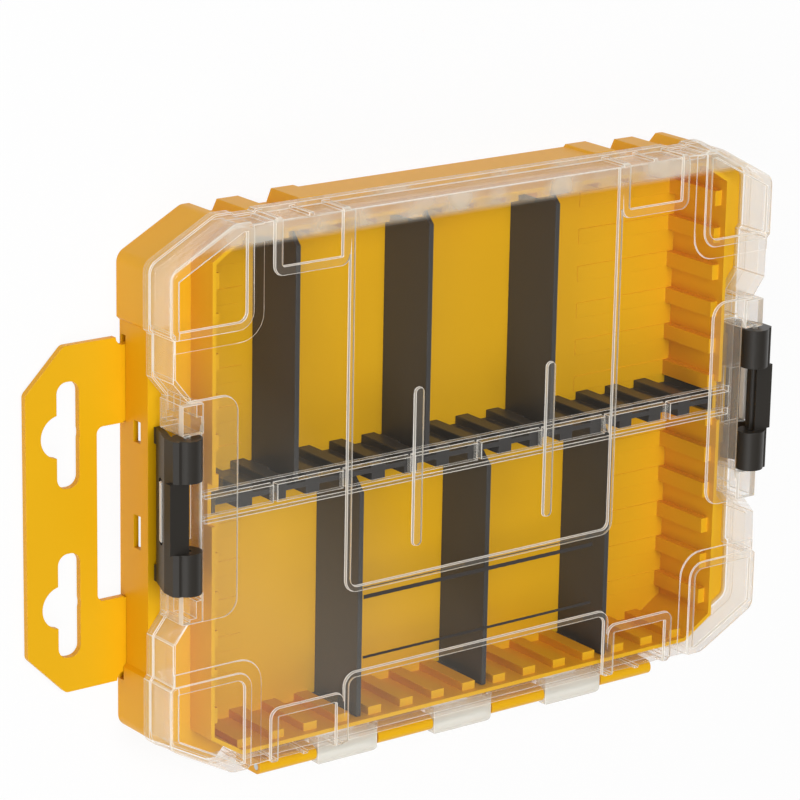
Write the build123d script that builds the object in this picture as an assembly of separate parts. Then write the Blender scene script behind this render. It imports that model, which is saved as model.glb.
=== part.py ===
from build123d import *
from math import sqrt
import os

# A flat organiser case lies on its base: X is its length, Y its width, Z up.
# The hinge runs along the -Y side, a latch sits in the middle of each end,
# and a flat hang tag stands out at the -X end.
# The origin is the middle of the underside of the base. All sizes are in mm.

# Body of the case
case_length = 214.0
case_width = 158.0
base_height = 14.0
lid_height = 13.5
wall = 1.6
floor_thickness = 1.5
deck_thickness = 1.6
parting_gap = 0.1
rim_proud = 0.6
rim_height = 3.0
corner_cut_x = 20.5
corner_cut_y = 11.0
corner_radius = 4.0
pad_step = 1.0
end_pad_start = 49.0
side_pad_start = 80.0
side_step = 0.8
lid_block_half = 72.5
base_gap_depth = 3.0
base_block_half = 56.0
base_block_end = 7.5
base_block_end_proud = 0.7
base_bump_start = 67.0
base_bump_length = 7.0

# Tray that stands inside, with slots for the dividers
slot_pitch = 11.3
tray_end_room = 16.5
tray_side_room = 5.5
tray_wall = 1.2
tooth_width = 4.6
tooth_depth = 2.4
tray_lid_gap = 0.4
tray_cut_x = 9.5
tray_cut_y = 6.0
floor_rib_height = 0.2
floor_rib_lengths = {-1: 24.0, 1: 37.0}

# Dividers
divider_thickness = 1.6
divider_height = 20.9
slot_clearance = 0.2
flange_thickness = 1.2
flange_height = 9.0
divider_cut = 5.0
upper_divider_slots = (-5.5, -1.5, 2.5)
lower_divider_slots = (-3.5, 0.5, 4.5)

# Front relief of the lid
face_thickness = 1.6
relief = 0.9
edge_round = 1.2
pad_x = 76.5
pad_y = 45.5
pad_height = 0.4
pad_corner_radius = 7.5
bead_start = 3.5
bead_width = 2.2
bead_corner_radius = 5.0
bracket_inner_x = 48.3
bracket_width = 25.0
bracket_depth = 16.2
bracket_border = 2.5
bracket_corner_radius = 3.0
side_hollow = 0.9
side_rib = 1.6
panel_bottom = -33.0
lower_panel_top = -57.0
panel_line = 1.6
panel_corner_radius = 4.0
latch_pad_x = 85.0
latch_pad_half = 31.5
latch_pad_corner_radius = 5.0
front_rib_x = 23.6
front_rib_half = 23.3
front_rib_width = 3.0
front_rib_corner_radius = 1.4
cross_rib_y = 3.5
cross_rib_thickness = 1.8
cross_rib_gap = 0.4
cross_rib_end_room = 2.8
cross_notch_half = 6.0
cross_web_pitch = 23.6
cross_web_thickness = 1.2

# Latches and the recess each one sits in
recess_half = 31.0
recess_ramp = 6.0
recess_depth = 5.8
latch_pocket_depth = 3.7
latch_pocket_half = 24.5
latch_half_length = 21.9
latch_ear_length = 11.9
latch_axis_out = 1.0
latch_ear_radius = 4.2
latch_pivot_radius = 1.0
latch_pivot_clearance = 0.1
latch_plate = 2.2
latch_foot_above_parting = 1.5
latch_foot_out = 3.1
latch_shoulder_out = 6.4
latch_shoulder_below_top = 3.0
latch_bevel = 1.2
latch_tab_length = 4.6
latch_tab_drop = 1.1
ear_above_top = 2.5
bar_above_top = 1.5
bar_inside = 0.3
lip_proud = 1.0
lip_height = 2.5
lip_half = 10.0
window_half = 9.5
window_height = 4.2
window_corner = 1.9
window_above_foot = 3.0
boss_gap = 0.6
boss_proud = 2.9
stop_half = 8.8
stop_height = 2.6
stop_gap = 0.5
stop_proud = 0.3
catch_half = 8.0
catch_thickness = 1.7
catch_height = 2.0
catch_gap = 0.4

# Hinge
hinge_axis_out = 3.6
hinge_axis_above_parting = 4.0
knuckle_radius = 2.2
lid_knuckle_pitch = 41.5
lid_knuckle_width = 21.0
lid_knuckle_out = 4.0
lid_knuckle_above = 2.0
lid_knuckle_below = 2.6
lid_knuckle_round = 1.8
knuckle_gap = 0.4
hinge_half_length = 72.0
hinge_pin_radius = 1.0
hinge_bore_clearance = 0.06
hinge_arm_depth = 6.0

# Hang tag
tag_reach = 31.5
tag_half = 49.4
tag_middle_y = -4.4
tag_thickness = 2.0
tag_underside = 0.8
tag_corner_cut = 12.0
tag_arm_width = 24.0
tag_radius = 2.0
tag_wall_gap = 0.5
tag_root_grip = 4.0
keyhole_spacing = 48.6
keyhole_length = 30.0
keyhole_width = 7.0
keyhole_corner = 3.1
keyhole_from_end = 9.8
keyhole_bump_half = 6.1
keyhole_bump = 5.0
finger_slot_length = 50.0
finger_slot_width = 8.6
notch_radius = 2.4
tag_groove_clearance = 0.15

# Slots through the end wall of the base, beside the tag
end_slot_height = 3.5
end_slot_z = 8.6
end_slots = ((19.3, 6.1), (-9.3, 9.6))

half_length = case_length / 2 - rim_proud
half_width = case_width / 2 - rim_proud
parting = base_height
lid_bottom = parting + parting_gap
lid_top = base_height + lid_height
face_level = lid_top - relief
face_inside = face_level - face_thickness
slots_long = 2 * int((case_length / 2 - tray_end_room) / slot_pitch)
slots_wide = 2 * int((case_width / 2 - tray_side_room) / slot_pitch - 0.5) + 1
tray_half_length = slots_long * slot_pitch / 2
tray_half_width = slots_wide * slot_pitch / 2
recess_x = half_length - recess_depth
latch_pocket_x = recess_x - latch_pocket_depth
latch_axis_x = recess_x + latch_axis_out
latch_foot_x = recess_x + latch_foot_out
latch_outer_x = recess_x + latch_shoulder_out
tray_top = face_inside - tray_lid_gap
divider_top = floor_thickness + divider_height
cross_rib_bottom = divider_top + cross_rib_gap
latch_axis_z = lid_top
latch_foot_z = parting + latch_foot_above_parting
window_top = latch_foot_z + window_above_foot + window_height
hinge_y = -(case_width / 2 + hinge_axis_out)
hinge_z = parting + hinge_axis_above_parting


def block(x0, x1, y0, y1, z0, z1):
    """A box between two opposite corners."""
    centre = ((x0 + x1) / 2, (y0 + y1) / 2, (z0 + z1) / 2)
    return Pos(*centre) * Box(abs(x1 - x0), abs(y1 - y0), abs(z1 - z0))


def slab(sketch, z0, z1):
    """The sketch drawn up from z0 to z1."""
    return Pos(0, 0, z0) * extrude(sketch, amount=z1 - z0)


def region(x0, x1, y0, y1):
    """A rectangle in the XY plane between two corners."""
    return Pos((x0 + x1) / 2, (y0 + y1) / 2) * Rectangle(abs(x1 - x0), abs(y1 - y0))


def rounded(x0, x1, y0, y1, radius):
    """A rectangle in the XY plane between two corners, with rounded corners."""
    return Pos((x0 + x1) / 2, (y0 + y1) / 2) * RectangleRounded(abs(x1 - x0), abs(y1 - y0), radius)


def base_side():
    """Side of the base from its corner pad to the middle: gap, bump, gap and a long block."""
    low = half_width - base_gap_depth
    raised = half_width + base_block_end_proud
    bump_end = base_bump_start + base_bump_length
    return [
        (side_pad_start + base_gap_depth, half_width),
        (side_pad_start, low),
        (bump_end + base_gap_depth / 2, low),
        (bump_end, half_width),
        (base_bump_start, half_width),
        (base_bump_start - base_gap_depth / 2, low),
        (base_block_half + base_gap_depth / 2, low),
        (base_block_half, raised),
        (base_block_half - base_block_end, raised),
        (base_block_half - base_block_end - base_block_end_proud, half_width),
    ]


def lid_side():
    """Side of the lid from its corner pad to the middle: one shallow gap and a long block."""
    low = half_width - side_step
    return [
        (side_pad_start + side_step, half_width),
        (side_pad_start, low),
        (lid_block_half + side_step, low),
        (lid_block_half, half_width),
    ]


def latch_recess():
    """End of the lid from its middle outwards: latch pocket, shallow recess and ramp."""
    return [
        (latch_pocket_x, latch_pocket_half),
        (recess_x, latch_pocket_half),
        (recess_x, recess_half),
        (half_length - pad_step, recess_half + recess_ramp),
    ]


def outline(side, end=(), grow=0.0):
    """Plan of the case: cut corners, corner pads, the given side and middle of the end."""
    quarter = list(end)
    quarter += [
        (half_length - pad_step, end_pad_start),
        (half_length, end_pad_start + pad_step),
        (half_length, half_width - corner_cut_y),
        (half_length - corner_cut_x, half_width),
    ]
    quarter += side
    points = list(quarter)
    points += [(-x, y) for x, y in reversed(quarter)]
    points += [(-x, -y) for x, y in quarter]
    points += [(x, -y) for x, y in reversed(quarter)]
    plan = make_face(Polyline(*points, close=True))
    if grow:
        plan = offset(plan, amount=grow, kind=Kind.INTERSECTION)
    big = [v for v in plan.vertices() if is_corner(v, grow)]
    plan = fillet(big, corner_radius)
    return plan


def is_corner(vertex, grow):
    """True for the two ends of each cut corner of the plan."""
    x = abs(vertex.X)
    y = abs(vertex.Y)
    reach = corner_cut_y / 2
    near_end = x > half_length + grow - reach and y > half_width - corner_cut_y - reach
    near_side = y > half_width + grow - reach and x > half_length - corner_cut_x - reach
    return near_end or (near_side and abs(x - half_length + corner_cut_x) < reach / 2)


def teeth_long(y_face, inward):
    """Teeth along X on a wall whose face is at y_face; inward is +1 or -1."""
    half = slots_long // 2
    return [
        region(k * slot_pitch - tooth_width / 2, k * slot_pitch + tooth_width / 2,
               y_face, y_face + inward * tooth_depth)
        for k in range(1 - half, half)
    ]


def teeth_wide(x_face, inward, depth=tooth_depth):
    """Teeth along Y on an end wall whose face is at x_face."""
    half = slots_wide // 2
    return [
        region(x_face, x_face + inward * depth,
               (k + 0.5) * slot_pitch - tooth_width / 2, (k + 0.5) * slot_pitch + tooth_width / 2)
        for k in range(-half, half)
    ]


def base_knuckle(x0, x1):
    """A thin round knuckle on a short arm that stands out of the base's side."""
    arm = block(x0, x1, base_gap_depth - half_width, hinge_y - knuckle_radius,
                parting - hinge_arm_depth, parting)
    arm += block(x0, x1, hinge_y - knuckle_radius, hinge_y + knuckle_radius,
                 parting - hinge_arm_depth, hinge_z)
    barrel = Rot(0, 90, 0) * Cylinder(knuckle_radius, x1 - x0)
    return arm + Pos((x0 + x1) / 2, hinge_y, hinge_z) * barrel


def lid_knuckle(x0, x1):
    """A boxy clear knuckle that stands out of the lid's side, with rounded outer edges."""
    made = block(x0, x1, hinge_y - lid_knuckle_out, wall - half_width,
                 hinge_z - lid_knuckle_below, hinge_z + lid_knuckle_above)
    return fillet(made.faces().sort_by(Axis.Y)[0].edges(), lid_knuckle_round)


def hinge_bore():
    """The hole for the pin through every knuckle."""
    bore = Rot(0, 90, 0) * Cylinder(hinge_pin_radius + hinge_bore_clearance, 4 * hinge_half_length)
    return Pos(0, hinge_y, hinge_z) * bore


def lid_knuckle_spans():
    """Start and end in X of each knuckle on the lid."""
    half = lid_knuckle_width / 2
    return [(k * lid_knuckle_pitch - half, k * lid_knuckle_pitch + half) for k in (-1, 0, 1)]


def base_knuckle_spans():
    """Start and end in X of each knuckle on the base, in the gaps that the lid leaves."""
    edges = [-hinge_half_length]
    for start, end in lid_knuckle_spans():
        edges += [start - knuckle_gap, end + knuckle_gap]
    edges.append(hinge_half_length)
    return list(zip(edges[0::2], edges[1::2]))


def cut_rectangle(x, y, cut_x, cut_y):
    """A rectangle round the origin that reaches x and y, with its four corners cut off."""
    quarter = [(x, y - cut_y), (x - cut_x, y)]
    points = list(quarter)
    points += [(-px, py) for px, py in reversed(quarter)]
    points += [(-px, -py) for px, py in quarter]
    points += [(px, -py) for px, py in reversed(quarter)]
    return make_face(Polyline(*points, close=True))


def base_tray():
    """Yellow base: low outer skirt, deck, and the tall toothed tray in one moulding."""
    plan = outline(base_side())
    inner_plan = offset(plan, amount=-wall, kind=Kind.INTERSECTION)
    body = slab(plan, 0, parting) - slab(inner_plan, 0, parting - deck_thickness)
    ring = cut_rectangle(tray_half_length, tray_half_width, tray_cut_x, tray_cut_y)
    body += slab(offset(ring, amount=tray_wall, kind=Kind.INTERSECTION), 0, tray_top)
    body -= slab(ring, floor_thickness, tray_top + wall)
    teeth = teeth_long(tray_half_width, -1) + teeth_long(-tray_half_width, 1)
    teeth += teeth_wide(tray_half_length, -1) + teeth_wide(-tray_half_length, 1)
    body += [slab(tooth, floor_thickness, divider_top) for tooth in teeth]
    for side, length in floor_rib_lengths.items():
        strips = teeth_wide(side * (tray_half_length - length), side, length)
        body += [slab(strip, floor_thickness, floor_thickness + floor_rib_height) for strip in strips]
    catch_outer = latch_foot_x - latch_plate - catch_gap
    tray_outer = tray_half_length + 2 * tray_wall
    for side in (-1, 1):
        body += block(side * (catch_outer - catch_thickness), side * catch_outer,
                      -catch_half, catch_half, parting - deck_thickness, parting + catch_height)
        body -= block(side * tray_half_length, side * tray_outer,
                      -cross_notch_half, cross_notch_half, divider_top, tray_top + wall)
        for middle, length in end_slots:
            body -= block(side * (half_length - pad_step - 2 * wall), side * case_length,
                          middle - length / 2, middle + length / 2,
                          end_slot_z - end_slot_height / 2, end_slot_z + end_slot_height / 2)
    for start, end in base_knuckle_spans():
        body += base_knuckle(start, end)
    body -= hinge_bore()
    body -= tag_groove()
    return body


def tag_groove():
    """Pocket in the base's end wall that the root of the hang tag is pushed into."""
    gap = tag_groove_clearance
    root = half_length - pad_step
    cuts = []
    for side in (-1, 1):
        middle = tag_middle_y + side * (tag_half - tag_arm_width / 2)
        cuts.append(block(-root - wall, -root + wall + gap,
                          middle - tag_arm_width / 2 - gap, middle + tag_arm_width / 2 + gap,
                          tag_underside - gap, tag_underside + tag_thickness + gap))
    return cuts


def hang_tag():
    """Flat tag with two hanging holes and a long finger slot."""
    root = half_length - pad_step
    tip = root + tag_reach
    inner = root + tag_wall_gap
    half = tag_half
    plate = make_face(Polyline(
        (-inner, tag_middle_y - half), (-tip + tag_corner_cut, tag_middle_y - half),
        (-tip, tag_middle_y - half + tag_corner_cut), (-tip, tag_middle_y + half - tag_corner_cut),
        (-tip + tag_corner_cut, tag_middle_y + half), (-inner, tag_middle_y + half), close=True))
    plate = fillet(plate.vertices(), tag_radius)
    for side in (-1, 1):
        middle = tag_middle_y + side * (half - tag_arm_width / 2)
        plate += region(-inner - tag_root_grip, -root + wall, middle - tag_arm_width / 2,
                        middle + tag_arm_width / 2)
        plate -= keyhole(-tip, tag_middle_y + side * keyhole_spacing / 2)
        plate -= Pos(-inner, middle + side * tag_arm_width / 2) * Circle(notch_radius)
    slot = Pos(-inner - finger_slot_width / 2, tag_middle_y) * RectangleRounded(
        finger_slot_width + 2 * tag_radius, finger_slot_length, tag_radius)
    plate -= Pos(tag_radius, 0) * slot
    return slab(plate, tag_underside, tag_underside + tag_thickness)


def keyhole(tip_x, y):
    """A slot across the tag with a wider round place in its middle, towards the tip."""
    centre_x = tip_x + keyhole_from_end + keyhole_width / 2
    slot = Pos(centre_x, y) * RectangleRounded(keyhole_width, keyhole_length, keyhole_corner)
    bump_x = centre_x - keyhole_width / 2 - keyhole_bump + keyhole_bump_half
    bump = Pos(bump_x, y) * Circle(keyhole_bump_half)
    return slot + bump


def corner_areas(start, radius):
    """One rounded area per corner of the lid, from start in X and Y out past its edge."""
    return [
        rounded(sx * start[0], sx * case_length, sy * start[1], sy * case_length, radius)
        for sx in (-1, 1) for sy in (-1, 1)
    ]


def brackets():
    """Two rounded beads on each long side, each shaped like a staple open to the edge."""
    made = []
    for sx in (-1, 1):
        for sy in (-1, 1):
            start = bracket_inner_x
            end = bracket_inner_x + bracket_width
            depth = half_width - bracket_depth
            outer = rounded(sx * start, sx * end, sy * depth, sy * case_width, bracket_corner_radius)
            made.append(outer - rounded(
                sx * (start + bracket_border), sx * (end - bracket_border),
                sy * (depth + bracket_border), sy * case_width,
                bracket_corner_radius - bracket_border))
    return made


def panel_frames():
    """Thin raised lines that frame the middle panel and the place for a label."""
    made = []
    for sy, edge in ((1, panel_bottom), (-1, lower_panel_top)):
        outer = rounded(-bracket_inner_x, bracket_inner_x, edge, sy * case_width, panel_corner_radius)
        made.append(outer - rounded(
            panel_line - bracket_inner_x, bracket_inner_x - panel_line,
            edge + sy * panel_line, sy * case_width, panel_corner_radius - panel_line))
    return made


def lid_relief_raised():
    """Areas of the lid's face that stand up to its top level."""
    raised = corner_areas((pad_x + bead_start, pad_y + bead_start), bead_corner_radius)
    raised += brackets()
    raised += panel_frames()
    for side in (-1, 1):
        raised.append(rounded(side * latch_pad_x, side * case_length,
                              -latch_pad_half, latch_pad_half, latch_pad_corner_radius))
        raised.append(rounded(side * (front_rib_x - front_rib_width / 2),
                              side * (front_rib_x + front_rib_width / 2),
                              -front_rib_half, front_rib_half, front_rib_corner_radius))
    return raised


def lid_pad_hollows():
    """Shallow hollows inside the four corner pads, for the feet of a case stacked on top."""
    inside = cut_rectangle(half_length - 2 * edge_round, half_width - 2 * edge_round,
                           corner_cut_x, corner_cut_y)
    bead_end = bead_start + bead_width
    areas = corner_areas((pad_x + bead_end, pad_y + bead_end), bead_corner_radius - bead_width)
    return [area & inside for area in areas]


def lid_relief():
    """What is cut away above the lid's face: the low field, the pad steps and the hollows."""
    field = region(-case_length, case_length, -case_width, case_width)
    pads = corner_areas((pad_x, pad_y), pad_corner_radius)
    beads = corner_areas((pad_x + bead_start, pad_y + bead_start), bead_corner_radius)
    low = field - lid_relief_raised() - pads
    cuts = [slab(low, face_level, lid_top + wall)]
    cuts += [slab(pad - bead, face_level + pad_height, lid_top + wall)
             for pad, bead in zip(pads, beads)]
    cuts += [slab(hollow, face_level, lid_top + wall) for hollow in lid_pad_hollows()]
    return cuts


def latch_mounts(side):
    """Bosses and pivots that carry a latch, and the stop that fills its window."""
    start = latch_half_length + boss_gap
    pivot_end = latch_half_length - latch_ear_length + boss_gap
    mounts = [block(side * (latch_pocket_x - wall), side * (latch_foot_x + stop_proud),
                    -stop_half, stop_half, window_top - stop_gap - stop_height, window_top - stop_gap)]
    for end in (-1, 1):
        mounts.append(block(side * latch_pocket_x, side * (recess_x + boss_proud),
                            end * start, end * recess_half,
                            parting + rim_height, latch_axis_z + latch_pivot_radius))
        pivot = Rot(90, 0, 0) * Cylinder(latch_pivot_radius, start + boss_gap - pivot_end)
        mounts.append(Pos(side * latch_axis_x, end * (start + boss_gap + pivot_end) / 2,
                          latch_axis_z) * pivot)
    return mounts


def lid():
    """Clear lid: a deep cap with a relief face, latch recesses, pivot rods and hinge knuckles."""
    plan = outline(lid_side(), latch_recess())
    inner_plan = offset(plan, amount=-wall, kind=Kind.INTERSECTION)
    shell = slab(plan, lid_bottom, lid_top)
    top_edges = shell.faces().sort_by(Axis.Z)[-1].edges()
    shell = fillet(top_edges, edge_round)
    shell -= lid_relief()
    shell -= lid_side_hollows()
    shell += slab(outline(lid_side(), latch_recess(), rim_proud), lid_bottom, parting + rim_height)
    for start, end in lid_knuckle_spans():
        shell += lid_knuckle(start, end)
    shell -= slab(inner_plan, parting - wall, face_inside)
    shell += cross_ribs()
    for side in (-1, 1):
        shell += latch_mounts(side)
    return shell - hinge_bore()


def lid_side_hollows():
    """Shallow hollows in both long walls: one in the middle and two beside each bracket's rib."""
    bracket_end = bracket_inner_x + bracket_width - bracket_border
    bracket_start = bracket_inner_x + bracket_border
    middle = (bracket_start + bracket_end) / 2
    spans = [(-bracket_inner_x, bracket_inner_x)]
    for side in (-1, 1):
        spans.append((side * bracket_start, side * (middle - side_rib / 2)))
        spans.append((side * (middle + side_rib / 2), side * bracket_end))
    return [
        block(start, end, side * (half_width - side_hollow), side * case_width,
              parting + rim_height, lid_top + wall)
        for start, end in spans for side in (-1, 1)
    ]


def cross_ribs():
    """Two long ribs under the face that straddle the centre divider, tied by short webs."""
    reach = latch_pocket_x - cross_rib_end_room
    ribs = []
    for side in (-1, 1):
        y = side * cross_rib_y
        ribs.append(block(-reach, reach, y - cross_rib_thickness / 2, y + cross_rib_thickness / 2,
                          cross_rib_bottom, face_inside))
    count = int(tray_half_length // cross_web_pitch)
    for k in range(-count, count + 1):
        x = k * cross_web_pitch
        ribs.append(block(x - cross_web_thickness / 2, x + cross_web_thickness / 2,
                          -cross_rib_y, cross_rib_y, cross_rib_bottom, face_inside))
    return ribs


def latch_profile(inner_x, top):
    """Side view of a latch: a plate that leans out from its foot, and a solid head above."""
    shoulder = lid_top - latch_shoulder_below_top
    face = make_face(Polyline(
        (latch_foot_x - latch_plate, latch_foot_z), (latch_foot_x, latch_foot_z),
        (latch_outer_x, shoulder), (latch_outer_x, top - latch_bevel),
        (latch_outer_x - latch_bevel, top), (inner_x, top), (inner_x, shoulder),
        (latch_outer_x - latch_plate, shoulder), close=True))
    return Plane.XZ * face


def latch(side):
    """Black latch: leaning plate with a window, two ears on the pivots, a bar with a finger lip."""
    ear_start = latch_half_length - latch_ear_length
    bar_top = lid_top + bar_above_top
    bar = latch_profile(latch_axis_x + bar_inside, bar_top)
    plate = extrude(bar, amount=ear_start, both=True)
    plate += block(latch_outer_x - latch_bevel, latch_outer_x + lip_proud, -lip_half, lip_half,
                   bar_top - lip_height, bar_top)
    ear = extrude(latch_profile(latch_axis_x, lid_top + ear_above_top), amount=latch_ear_length)
    ear += Pos(latch_axis_x, -latch_ear_length / 2, latch_axis_z) * Rot(90, 0, 0) * Cylinder(
        latch_ear_radius, latch_ear_length)
    plate += Pos(0, -ear_start, 0) * ear
    plate += Pos(0, latch_half_length, 0) * ear
    for end in (-1, 1):
        plate += block(latch_foot_x - latch_plate, latch_foot_x,
                       end * (latch_half_length - latch_tab_length), end * latch_half_length,
                       latch_foot_z - latch_tab_drop, latch_foot_z)
    window = Pos(latch_foot_x, 0, window_top - window_height / 2) * Rot(0, 90, 0) * extrude(
        RectangleRounded(window_height, 2 * window_half, window_corner),
        amount=2 * latch_plate, both=True)
    plate -= window
    bore = Rot(90, 0, 0) * Cylinder(latch_pivot_radius + latch_pivot_clearance,
                                    4 * latch_half_length)
    plate -= Pos(latch_axis_x, 0, latch_axis_z) * bore
    if side < 0:
        return mirror(plate, about=Plane.YZ)
    return plate


def centre_divider():
    """Long black divider with teeth on both faces."""
    half = tray_half_length - slot_clearance
    plan = region(-half, half, -divider_thickness / 2, divider_thickness / 2)
    plan += teeth_long(divider_thickness / 2, 1)
    plan += teeth_long(-divider_thickness / 2, -1)
    flange = (slot_pitch - tooth_width) / 2 - slot_clearance
    for side in (-1, 1):
        plan += region(side * half, side * (half - flange_thickness), -flange, flange)
    return slab(plan, floor_thickness, divider_top)


def cross_divider(slot, side):
    """Black plate from the centre divider to the long wall, with a low flange at each end."""
    x = slot * slot_pitch
    near = divider_thickness / 2 + slot_clearance
    far = tray_half_width - slot_clearance
    flange = (slot_pitch - tooth_width) / 2 - slot_clearance
    plate = block(x - divider_thickness / 2, x + divider_thickness / 2, side * near, side * far,
                  floor_thickness, divider_top)
    for start in (near, far - flange_thickness):
        plate += block(x - flange, x + flange, side * start, side * (start + flange_thickness),
                       floor_thickness, floor_thickness + flange_height)
    cut_side = divider_cut * sqrt(2)
    cut_y = far if side > 0 else -near
    return plate - Pos(x, cut_y, divider_top) * Rot(45, 0, 0) * Box(slot_pitch, cut_side, cut_side)


def hinge_pin():
    """Steel pin through all the knuckles."""
    return Pos(0, hinge_y, hinge_z) * Rot(0, 90, 0) * Cylinder(hinge_pin_radius, 2 * hinge_half_length)


pieces = {
    "base_tray": base_tray(),
    "lid": lid(),
    "latch_left": latch(-1),
    "latch_right": latch(1),
    "hinge_pin": hinge_pin(),
    "hang_tag": hang_tag(),
    "centre_divider": centre_divider(),
}
for number, slot in enumerate(upper_divider_slots, start=1):
    pieces[f"divider_upper_{number}"] = cross_divider(slot, 1)
for number, slot in enumerate(lower_divider_slots, start=1):
    pieces[f"divider_lower_{number}"] = cross_divider(slot, -1)

os.makedirs("parts", exist_ok=True)
for name, piece in pieces.items():
    export_step(piece, f"parts/{name}.step")
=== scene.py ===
import math
import bpy
import bmesh
from mathutils import Matrix, Vector


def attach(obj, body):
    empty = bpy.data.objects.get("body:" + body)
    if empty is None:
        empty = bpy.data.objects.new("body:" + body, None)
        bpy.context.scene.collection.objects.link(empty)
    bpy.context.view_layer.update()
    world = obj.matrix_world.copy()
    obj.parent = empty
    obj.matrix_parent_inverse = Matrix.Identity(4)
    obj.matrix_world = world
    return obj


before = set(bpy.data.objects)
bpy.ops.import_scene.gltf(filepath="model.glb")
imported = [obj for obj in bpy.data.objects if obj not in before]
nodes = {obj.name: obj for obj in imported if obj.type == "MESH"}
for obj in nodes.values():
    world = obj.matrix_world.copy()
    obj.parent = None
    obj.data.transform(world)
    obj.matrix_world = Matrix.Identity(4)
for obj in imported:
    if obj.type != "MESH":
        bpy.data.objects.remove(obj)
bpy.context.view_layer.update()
scene = bpy.context.scene


# Camera and studio
# The case lies on a white table under large soft lamps. A long lens looks at its lid
# from above the hang tag's end, with the case's hinge side at the bottom of the picture.
millimetre = 0.001
camera_place = Vector((-617.6, 311.5, 808.5)) * millimetre
camera_aim = Vector((-11.6, 11.4, 2.0)) * millimetre
camera_up = Vector((0.1563, 0.9583, -0.2392))
camera_lens = 164.8
camera_sensor = 36.0
camera_range = (0.05, 20.0)
white = "#FFFFFF"
table_colour = "#F4F4F4"
table_size = 8.0
table_glow = 0.9
wall_top = 0.35
ceiling_start = 0.7
wall_light = 0.55
wall_seen_light = 1.0
ceiling_light = 0.22
softbox_size = 0.9
softboxes = {"key_softbox": ((-0.3, 0.5, 1.7), 19.0), "fill_softbox": ((-0.9, -0.7, 0.9), 6.0)}


def srgb(hex_colour):
    """The linear colour of an sRGB hex value."""
    parts = [int(hex_colour[i:i + 2], 16) / 255 for i in (1, 3, 5)]
    return [c / 12.92 if c <= 0.04045 else ((c + 0.055) / 1.055) ** 2.4 for c in parts] + [1.0]


def add_node(tree, kind, settings=None, links=None):
    """Adds a shader node with its settings and the outputs that feed its inputs."""
    made = tree.nodes.new(kind)
    for name, value in (settings or {}).items():
        if isinstance(name, int) or name in made.inputs:
            made.inputs[name].default_value = value
        else:
            setattr(made, name, value)
    for name, output in (links or {}).items():
        tree.links.new(output, made.inputs[name])
    return made


def seen_directly(tree):
    """One for camera, glossy and transmission rays, and zero for the light on the object."""
    path = add_node(tree, "ShaderNodeLightPath")
    both = add_node(tree, "ShaderNodeMath", {"operation": "MAXIMUM"},
                    {0: path.outputs["Is Camera Ray"], 1: path.outputs["Is Glossy Ray"]})
    all_three = add_node(tree, "ShaderNodeMath", {"operation": "MAXIMUM"},
                         {0: both.outputs[0], 1: path.outputs["Is Transmission Ray"]})
    return all_three.outputs[0]


def studio_world():
    """Pale walls near the floor, white where they are seen, and dim overhead by the lamps."""
    world = bpy.data.worlds.new("pale_studio")
    world.use_nodes = True
    tree = world.node_tree
    tree.nodes.clear()
    direction = add_node(tree, "ShaderNodeTexCoord")
    height = add_node(tree, "ShaderNodeSeparateXYZ", {}, {0: direction.outputs["Generated"]})
    walls = add_node(tree, "ShaderNodeMapRange", {3: wall_light, 4: wall_seen_light},
                     {0: seen_directly(tree)})
    level = add_node(tree, "ShaderNodeMapRange",
                     {1: wall_top, 2: ceiling_start, 4: ceiling_light},
                     {0: height.outputs["Z"], 3: walls.outputs[0]})
    light = add_node(tree, "ShaderNodeBackground", {"Color": srgb(white)},
                     {"Strength": level.outputs[0]})
    add_node(tree, "ShaderNodeOutputWorld", {}, {"Surface": light.outputs[0]})
    scene.world = world


def white_table():
    """A matt white table top that stays white and keeps a faint shadow."""
    material = bpy.data.materials.new("white_table_matt")
    material.use_nodes = True
    tree = material.node_tree
    tree.nodes.clear()
    paint = add_node(tree, "ShaderNodeBsdfDiffuse", {"Color": srgb(table_colour)})
    glow = add_node(tree, "ShaderNodeEmission", {"Color": srgb(white)})
    share = add_node(tree, "ShaderNodeMath", {"operation": "MULTIPLY", 1: table_glow},
                     {0: seen_directly(tree)})
    mixed = add_node(tree, "ShaderNodeMixShader", {},
                     {0: share.outputs[0], 1: paint.outputs[0], 2: glow.outputs[0]})
    add_node(tree, "ShaderNodeOutputMaterial", {}, {"Surface": mixed.outputs[0]})
    mesh = bpy.data.meshes.new("table_top")
    half = table_size / 2
    corners = [(-half, -half, 0), (half, -half, 0), (half, half, 0), (-half, half, 0)]
    mesh.from_pydata(corners, [], [(0, 1, 2, 3)])
    mesh.materials.append(material)
    table = bpy.data.objects.new("table_top", mesh)
    scene.collection.objects.link(table)


def soft_lamp(name, place, watts):
    """A large square softbox aimed at the case."""
    data = bpy.data.lights.new(name, "AREA")
    data.shape = "SQUARE"
    data.size = softbox_size
    data.energy = watts
    lamp = bpy.data.objects.new(name, data)
    lamp.location = place
    lamp.rotation_mode = "QUATERNION"
    lamp.rotation_quaternion = (Vector(place) - camera_aim).to_track_quat("Z", "Y")
    scene.collection.objects.link(lamp)


def photo_camera():
    """The camera on a long lens, turned so that the case's width runs up the picture."""
    data = bpy.data.cameras.new("long_lens")
    data.lens = camera_lens
    data.sensor_width = camera_sensor
    data.clip_start, data.clip_end = camera_range
    camera = bpy.data.objects.new("long_lens", data)
    back = (camera_place - camera_aim).normalized()
    right = camera_up.cross(back).normalized()
    up = back.cross(right)
    turn = Matrix((right, up, back)).transposed()
    camera.matrix_world = Matrix.Translation(camera_place) @ turn.to_4x4()
    scene.collection.objects.link(camera)
    scene.camera = camera


studio_world()
white_table()
for name, (place, watts) in softboxes.items():
    soft_lamp(name, place, watts)
photo_camera()
scene.view_settings.view_transform = "Standard"


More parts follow.
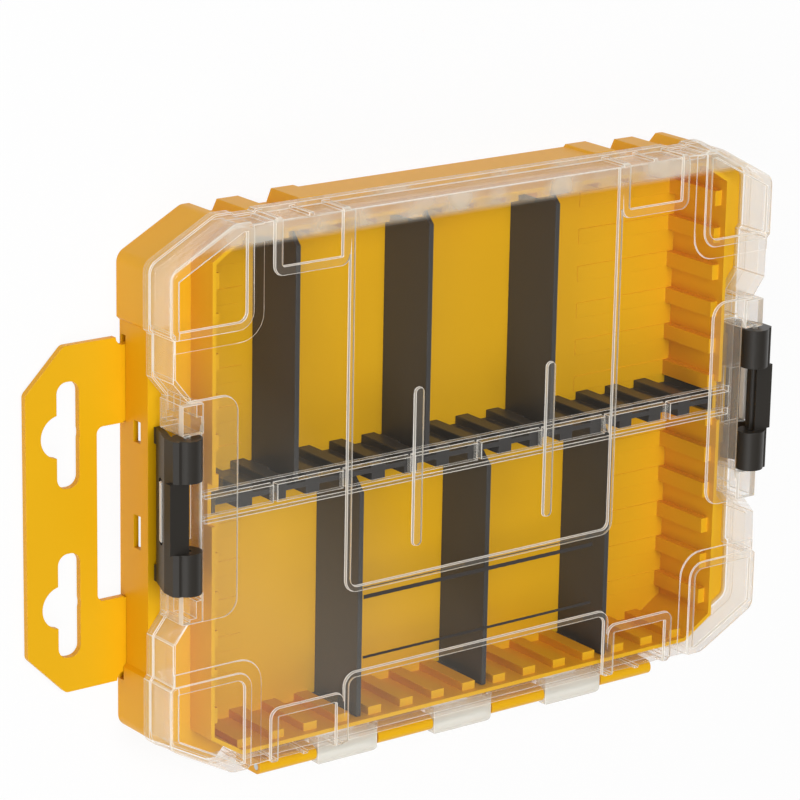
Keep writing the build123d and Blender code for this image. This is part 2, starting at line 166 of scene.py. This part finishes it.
# Base tray and hang tag
# Yellow polypropylene, injection moulded. The mould is spark eroded, so the skin is satin
# with a very fine grain, which is drawn coarser here so that it shows. Moulded edges have
# a radius of about a quarter millimetre.
yellow = "#EEB70A"
yellow_shade = "#E6AC06"
# Painted shade: the upright faces of the tray and tag take this deeper orange, as if in shade.
yellow_painted_side_shade = "#E9A70A"
cloud_size = 40.0 * millimetre
grain = 0.45 * millimetre
grain_bump = 0.35
roughness_spread = 0.06
yellow_roughness = 0.42
yellow_grain_depth = 0.02 * millimetre
edge_radius = 0.25 * millimetre
sharp_angle_degrees = 35
flat_angle_degrees = 0.5
join_distance = 0.002 * millimetre
polypropylene_ior = 1.49
satin_specular = 0.3


def soften(node, width, join=join_distance):
    """Joins the flat facets of a CAD node, rounds its sharp edges and returns the rounding."""
    piece = nodes[node]
    weld = piece.modifiers.new("weld", "WELD")
    weld.merge_threshold = join
    flat = piece.modifiers.new("flat_faces", "DECIMATE")
    flat.decimate_type = "DISSOLVE"
    flat.angle_limit = math.radians(flat_angle_degrees)
    rounded = piece.modifiers.new("rounded_edges", "BEVEL")
    rounded.width = width
    rounded.segments = 2
    rounded.limit_method = "ANGLE"
    rounded.angle_limit = math.radians(sharp_angle_degrees)
    for polygon in piece.data.polygons:
        polygon.use_smooth = False
    return rounded


def new_material(name):
    """A new material with its tree of nodes and its surface shader."""
    material = bpy.data.materials.new(name)
    material.use_nodes = True
    tree = material.node_tree
    return material, tree, tree.nodes["Principled BSDF"]


def moulded_plastic(name, colour, shade, side, roughness, grain_depth):
    """Satin moulded plastic: a faint change of colour, painted shade that deepens its upright
    faces, and a fine grain.
    """
    material, tree, shader = new_material(name)
    place = add_node(tree, "ShaderNodeTexCoord")
    cloud = add_node(tree, "ShaderNodeTexNoise", {"Scale": 1 / cloud_size, "Detail": 2.0},
                     {"Vector": place.outputs["Object"]})
    mix = add_node(tree, "ShaderNodeMix", {"data_type": "RGBA", 6: srgb(colour), 7: srgb(shade)},
                   {0: cloud.outputs["Fac"]})
    # Painted shade: upright faces take the side colour and level faces keep their own colour.
    facing = add_node(tree, "ShaderNodeSeparateXYZ", {}, {0: place.outputs["Normal"]})
    flat = add_node(tree, "ShaderNodeMath", {"operation": "ABSOLUTE"}, {0: facing.outputs["Z"]})
    side_shaded = add_node(tree, "ShaderNodeMix", {"data_type": "RGBA", 6: srgb(side)},
                     {0: flat.outputs[0], 7: mix.outputs[2]})
    tree.links.new(side_shaded.outputs[2], shader.inputs["Base Color"])
    fine = add_node(tree, "ShaderNodeTexNoise", {"Scale": 1 / grain, "Detail": 3.0},
                    {"Vector": place.outputs["Object"]})
    spread = add_node(tree, "ShaderNodeMapRange",
                      {3: roughness - roughness_spread, 4: roughness + roughness_spread},
                      {0: fine.outputs["Fac"]})
    tree.links.new(spread.outputs[0], shader.inputs["Roughness"])
    bump = add_node(tree, "ShaderNodeBump", {"Strength": grain_bump, "Distance": grain_depth},
                    {"Height": fine.outputs["Fac"]})
    tree.links.new(bump.outputs[0], shader.inputs["Normal"])
    shader.inputs["IOR"].default_value = polypropylene_ior
    shader.inputs["Specular IOR Level"].default_value = satin_specular
    return material


def finish_node(node, *materials):
    """Gives a CAD node its materials, the main one first."""
    piece = nodes[node]
    piece.data.materials.clear()
    for material in materials:
        piece.data.materials.append(material)


yellow_plastic = moulded_plastic("polypropylene_yellow_satin", yellow, yellow_shade, yellow_painted_side_shade,
                                 yellow_roughness, yellow_grain_depth)
for name in ("base_tray", "hang_tag"):
    soften(name, edge_radius)
    finish_node(name, yellow_plastic)


# Hinge pin
# A drawn steel wire, pushed through the knuckles of the base and the lid. Drawing leaves
# fine lines along it, which are made coarser here so that they show.
steel = "#C6C8CA"
draw_line = 0.2 * millimetre
draw_stretch = (0.02, 1.0, 1.0)
steel_roughness = (0.22, 0.42)


def drawn_steel():
    """Bare steel wire with faint lines along its length."""
    material, tree, shader = new_material("steel_drawn_wire")
    shader.inputs["Base Color"].default_value = srgb(steel)
    shader.inputs["Metallic"].default_value = 1.0
    place = add_node(tree, "ShaderNodeTexCoord")
    along = add_node(tree, "ShaderNodeMapping", {"Scale": draw_stretch},
                     {"Vector": place.outputs["Object"]})
    lines = add_node(tree, "ShaderNodeTexNoise", {"Scale": 1 / draw_line},
                     {"Vector": along.outputs[0]})
    spread = add_node(tree, "ShaderNodeMapRange", {3: steel_roughness[0], 4: steel_roughness[1]},
                      {0: lines.outputs["Fac"]})
    tree.links.new(spread.outputs[0], shader.inputs["Roughness"])
    return material


finish_node("hinge_pin", drawn_steel())


# Dividers
# Black polypropylene plates that drop into the slots of the tray. They have the same
# satin moulded skin as the base, and the yellow around them lends them some brown.
black = "#42403F"
black_shade = "#3B3938"
black_roughness = 0.38
black_grain_depth = 0.015 * millimetre
black_plastic = moulded_plastic("polypropylene_black_satin", black, black_shade, black,
                                black_roughness, black_grain_depth)
dividers = [name for name in nodes if "divider" in name]
for name in dividers:
    soften(name, edge_radius)
    finish_node(name, black_plastic)


# Clear lid
# Clear polycarbonate, injection moulded in one piece. Its flat face is polished and nearly
# unseen.
# Walls, steps, borders and knuckles are painted milkier, as painted reflection of the light a
# clear moulding throws back there, and edges are painted as pale highlight lines.
clear = "#FAF8EE"
painted_edge_highlight = "#FFFBF3"
polycarbonate_ior = 1.5
lid_edge_radius = 0.17 * millimetre
lid_join_distance = 0.35 * millimetre
ripple_size = 14.0 * millimetre
ripple_depth = 0.05 * millimetre
ripple_bump = 0.3
ripple_range = (0.35, 0.65)
face_roughness = (0.03, 0.12)
step_level = 26.2 * millimetre
step_fade = 0.3 * millimetre
bead_level = 27.1 * millimetre
bead_fade = 0.2 * millimetre
wall_tilt = (0.5, 0.98)
border_middle = -3.2 * millimetre
border_start = 74.2 * millimetre
border_fade = 1.5 * millimetre
hinge_start = -79.2 * millimetre
hinge_fade = 0.5 * millimetre
# Painted reflection: a faint white haze over the face that grows toward its -X -Y corner.
painted_reflection_start = -40.0 * millimetre
painted_reflection_end = -110.0 * millimetre
face_cover = 0.006
painted_reflection_cover = 0.042
bead_cover = 0.14
# Painted glints: least and most white cover of the patches along the long borders.
painted_glint_cover = (0.3, 0.62)
hinge_cover = 0.8
wall_cover = 0.38
step_cover = 0.85
wall_transmission = 0.6
step_transmission = 0.3
edge_transmission = 0.2
edge_cover = 0.9
edge_speck = 3.0 * millimetre
edge_roughness = (0.1, 0.25)


def clear_shader(name, colour):
    """A material of clear polycarbonate with its tree and its shader."""
    material, tree, shader = new_material(name)
    shader.inputs["Base Color"].default_value = srgb(colour)
    shader.inputs["IOR"].default_value = polycarbonate_ior
    return material, tree, shader


def level_cover(tree, spot, ripple):
    """Cover of the level faces: a faint painted reflection haze toward one corner, painted
    highlight on beads and painted glints along long borders.
    """
    corner = add_node(tree, "ShaderNodeMath", {}, {0: spot.outputs["X"], 1: spot.outputs["Y"]})
    # Painted reflection: the haze rises as X plus Y falls toward the -X -Y corner.
    painted_reflection = add_node(tree, "ShaderNodeMapRange",
                    {1: painted_reflection_start, 2: painted_reflection_end, 3: face_cover, 4: painted_reflection_cover},
                    {0: corner.outputs[0]})
    bead = add_node(tree, "ShaderNodeMapRange",
                    {1: bead_level, 2: bead_level + bead_fade, 4: bead_cover},
                    {0: spot.outputs["Z"], 3: painted_reflection.outputs[0]})
    # Painted glints: uneven whitish patches along the long borders, set by the ripple noise.
    painted_glints = add_node(tree, "ShaderNodeMapRange",
                       {1: ripple_range[0], 2: ripple_range[1],
                        3: painted_glint_cover[0], 4: painted_glint_cover[1]}, {0: ripple.outputs["Fac"]})
    centred = add_node(tree, "ShaderNodeMath", {"operation": "SUBTRACT", 1: border_middle},
                       {0: spot.outputs["Y"]})
    aside = add_node(tree, "ShaderNodeMath", {"operation": "ABSOLUTE"}, {0: centred.outputs[0]})
    border = add_node(tree, "ShaderNodeMapRange",
                      {1: border_start, 2: border_start + border_fade},
                      {0: aside.outputs[0], 3: bead.outputs[0], 4: painted_glints.outputs[0]})
    return border.outputs[0]


def lid_cover(tree, place, ripple):
    """Cover of painted white on the clear plastic, a painted reflection: least on level faces,
    more on walls, steps and knuckles.
    """
    spot = add_node(tree, "ShaderNodeSeparateXYZ", {}, {0: place.outputs["Object"]})
    level = level_cover(tree, spot, ripple)
    side = add_node(tree, "ShaderNodeMapRange",
                    {1: step_level, 2: step_level + step_fade, 3: wall_cover, 4: step_cover},
                    {0: spot.outputs["Z"]})
    facing = add_node(tree, "ShaderNodeSeparateXYZ", {}, {0: place.outputs["Normal"]})
    flat = add_node(tree, "ShaderNodeMath", {"operation": "ABSOLUTE"}, {0: facing.outputs["Z"]})
    cover = add_node(tree, "ShaderNodeMapRange", {1: wall_tilt[0], 2: wall_tilt[1]},
                     {0: flat.outputs[0], 3: side.outputs[0], 4: level})
    # Painted reflection: the knuckles past the hinge edge are painted milky.
    hinge = add_node(tree, "ShaderNodeMapRange",
                     {1: hinge_start, 2: hinge_start - hinge_fade, 3: 0.0, 4: hinge_cover},
                     {0: spot.outputs["Y"]})
    most = add_node(tree, "ShaderNodeMath", {"operation": "MAXIMUM"},
                    {0: cover.outputs[0], 1: hinge.outputs[0]})
    return most.outputs[0]


def clear_plastic():
    """Clear plastic with a slight mould ripple, painted milkier where its reflections would
    show.
    """
    material, tree, shader = clear_shader("clear_polycarbonate_polished", clear)
    place = add_node(tree, "ShaderNodeTexCoord")
    ripple = add_node(tree, "ShaderNodeTexNoise", {"Scale": 1 / ripple_size, "Detail": 1.0},
                      {"Vector": place.outputs["Object"]})
    cover = lid_cover(tree, place, ripple)
    tree.links.new(cover, shader.inputs["Alpha"])
    thin = add_node(tree, "ShaderNodeMapRange",
                    {1: painted_reflection_cover, 2: bead_cover, 3: 0.0, 4: wall_transmission}, {0: cover})
    through = add_node(tree, "ShaderNodeMapRange",
                       {1: wall_cover, 2: step_cover, 4: step_transmission},
                       {0: cover, 3: thin.outputs[0]})
    tree.links.new(through.outputs[0], shader.inputs["Transmission Weight"])
    spread = add_node(tree, "ShaderNodeMapRange", {3: face_roughness[0], 4: face_roughness[1]},
                      {0: ripple.outputs["Fac"]})
    tree.links.new(spread.outputs[0], shader.inputs["Roughness"])
    bump = add_node(tree, "ShaderNodeBump", {"Strength": ripple_bump, "Distance": ripple_depth},
                    {"Height": ripple.outputs["Fac"]})
    tree.links.new(bump.outputs[0], shader.inputs["Normal"])
    return material


def edge_plastic():
    """The rounded edges of the same moulding, painted nearly white as a painted highlight for
    the light they would gather.
    """
    material, tree, shader = clear_shader("clear_polycarbonate_edge", painted_edge_highlight)
    shader.inputs["Transmission Weight"].default_value = edge_transmission
    shader.inputs["Alpha"].default_value = edge_cover
    place = add_node(tree, "ShaderNodeTexCoord")
    fine = add_node(tree, "ShaderNodeTexNoise", {"Scale": 1 / edge_speck},
                    {"Vector": place.outputs["Object"]})
    spread = add_node(tree, "ShaderNodeMapRange", {3: edge_roughness[0], 4: edge_roughness[1]},
                      {0: fine.outputs["Fac"]})
    tree.links.new(spread.outputs[0], shader.inputs["Roughness"])
    return material


# The lid's finest facets are joined first, so its rounding isn't held back by tiny edges.
edge_clear = edge_plastic()
lid_bevel = soften("lid", lid_edge_radius, lid_join_distance)
lid_bevel.use_clamp_overlap = False
lid_bevel.material = 1
finish_node("lid", clear_plastic(), edge_clear)


# Window bars
# A clear bar stands out from each end of the lid and fills the window of its latch. It is
# part of the lid's moulding, and it is painted nearly white as a painted highlight, for the
# light its thick rounded end would gather.
bar_root = 103.2 * millimetre
bar_low = (105.7 * millimetre, 19.9 * millimetre)
bar_high = (106.5 * millimetre, 22.1 * millimetre)
bar_half_length = 8.6 * millimetre
bar_corner = 0.45 * millimetre


def place_shape(shape, name):
    """Turns a finished shape into a piece of the scene."""
    bmesh.ops.recalc_face_normals(shape, faces=shape.faces)
    mesh = bpy.data.meshes.new(name)
    shape.to_mesh(mesh)
    shape.free()
    piece = bpy.data.objects.new(name, mesh)
    scene.collection.objects.link(piece)
    return piece


def window_bar(name, side):
    """A short bar along the latch, with a leaning front and rounded corners."""
    profile = ((bar_root, bar_low[1]), bar_low, bar_high, (bar_root, bar_high[1]))
    shape = bmesh.new()
    ends = [[shape.verts.new((side * x, y, z)) for x, z in profile]
            for y in (-bar_half_length, bar_half_length)]
    for i in range(4):
        j = (i + 1) % 4
        shape.faces.new((ends[0][i], ends[0][j], ends[1][j], ends[1][i]))
    shape.faces.new(ends[0])
    shape.faces.new(reversed(ends[1]))
    bmesh.ops.bevel(shape, geom=shape.edges[:], offset=bar_corner, segments=3,
                    affect="EDGES", profile=0.5)
    return place_shape(shape, name)


for name, side in (("window_bar_left", -1), ("window_bar_right", 1)):
    bar = window_bar(name, side)
    bar.data.materials.append(edge_clear)
    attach(bar, "lid")


# Label rules
# Three black lines printed on the face of the lid, with a plain strip between them. The
# ink lies on the plastic as a thin matt film with slightly uneven edges.
ink = "#2B2622"
ink_worn = "#3A342F"
ink_mottle = 0.6 * millimetre
ink_roughness = (0.45, 0.7)
ink_level = 26.6 * millimetre
ink_thickness = 0.04 * millimetre
rule_half_length = 41.6 * millimetre
rule_steps = 60
rule_waver = 0.03 * millimetre
rule_waver_turn = 2.3
rules = {"label_rule_fine": (-32.6 * millimetre, 0.35 * millimetre),
         "label_rule_upper": (-35.4 * millimetre, 1.2 * millimetre),
         "label_rule_lower": (-53.5 * millimetre, 0.8 * millimetre)}


def ink_film():
    """Matt black printing ink with a fine mottle."""
    material, tree, shader = new_material("printing_ink_black_matt")
    place = add_node(tree, "ShaderNodeTexCoord")
    mottle = add_node(tree, "ShaderNodeTexNoise", {"Scale": 1 / ink_mottle},
                      {"Vector": place.outputs["Object"]})
    spread = add_node(tree, "ShaderNodeMapRange", {3: ink_roughness[0], 4: ink_roughness[1]},
                      {0: mottle.outputs["Fac"]})
    tree.links.new(spread.outputs[0], shader.inputs["Roughness"])
    mix = add_node(tree, "ShaderNodeMix", {"data_type": "RGBA", 6: srgb(ink), 7: srgb(ink_worn)},
                   {0: mottle.outputs["Fac"]})
    tree.links.new(mix.outputs[2], shader.inputs["Base Color"])
    return material


def printed_rule(name, middle, width):
    """A printed line along the case: a thin film whose long edges waver a little."""
    shape = bmesh.new()
    rows = []
    for step in range(rule_steps + 1):
        x = rule_half_length * (2 * step / rule_steps - 1)
        waver = rule_waver * math.sin(rule_waver_turn * step)
        low = middle - width / 2 - waver
        high = middle + width / 2 - waver
        rows.append([shape.verts.new((x, y, z)) for y, z in (
            (low, ink_level), (high, ink_level),
            (high, ink_level + ink_thickness), (low, ink_level + ink_thickness))])
    for before, after in zip(rows, rows[1:]):
        for i in range(4):
            j = (i + 1) % 4
            shape.faces.new((before[i], after[i], after[j], before[j]))
    shape.faces.new(rows[0])
    shape.faces.new(reversed(rows[-1]))
    return place_shape(shape, name)


black_ink = ink_film()
for name, (middle, width) in rules.items():
    rule = printed_rule(name, middle, width)
    rule.data.materials.append(black_ink)
    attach(rule, "lid")


# Latches
# Black polypropylene, injection moulded, a little darker than the dividers. Each snaps over
# two clear pivots on the end of the lid, and its window takes the lid's clear bar.
latch_black = "#302C27"
latch_shade = "#292622"
latch_roughness = 0.36
latch_plastic = moulded_plastic("polypropylene_black_latch", latch_black, latch_shade,
                                latch_black, latch_roughness, black_grain_depth)
for name in ("latch_left", "latch_right"):
    soften(name, edge_radius)
    finish_node(name, latch_plastic)
